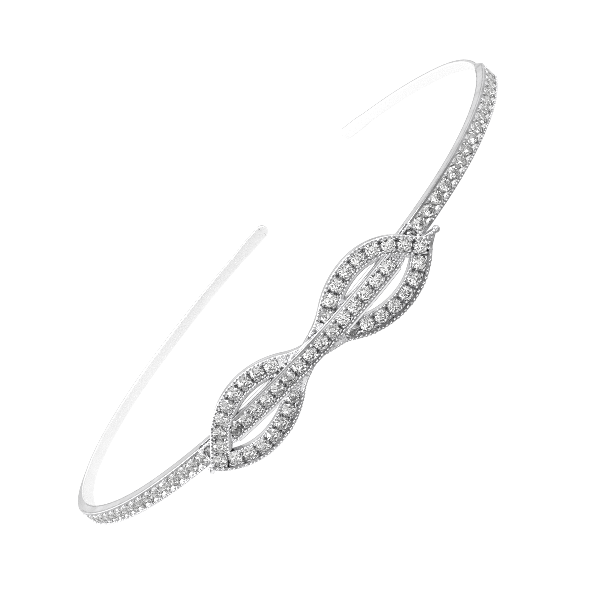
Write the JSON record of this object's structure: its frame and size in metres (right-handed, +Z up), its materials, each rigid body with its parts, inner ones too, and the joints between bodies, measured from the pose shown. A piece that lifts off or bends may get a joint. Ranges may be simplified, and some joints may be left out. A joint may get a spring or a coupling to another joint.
{
  "type": "embellished headband",
  "caption": "Springy metal headband with a row of round crystals along its front and a crossed, figure-of-eight crystal motif set to one side.",
  "frame": {"origin": "centre of the bounding box's bottom, on the surface the headband lies on", "axes": "+X to the wearer's left as seen from the front, across the head; +Y from the front of the band to the ends of its arms; +Z up from the surface, along the width of the metal strip"},
  "size_m": [0.1351, 0.1126, 0.0161],
  "materials": {
    "silver": "polished",
    "crystal": "faceted, polished"
  },
  "bodies": {
    "root": {"frame": "silver", "band_stones_left": "crystal", "band_stones_right": "crystal", "bar_stones": "crystal", "loop_left_upper_stones": "crystal", "loop_left_lower_stones": "crystal", "loop_right_upper_stones": "crystal", "loop_right_lower_stones": "crystal"}
  },
  "joints": []
}
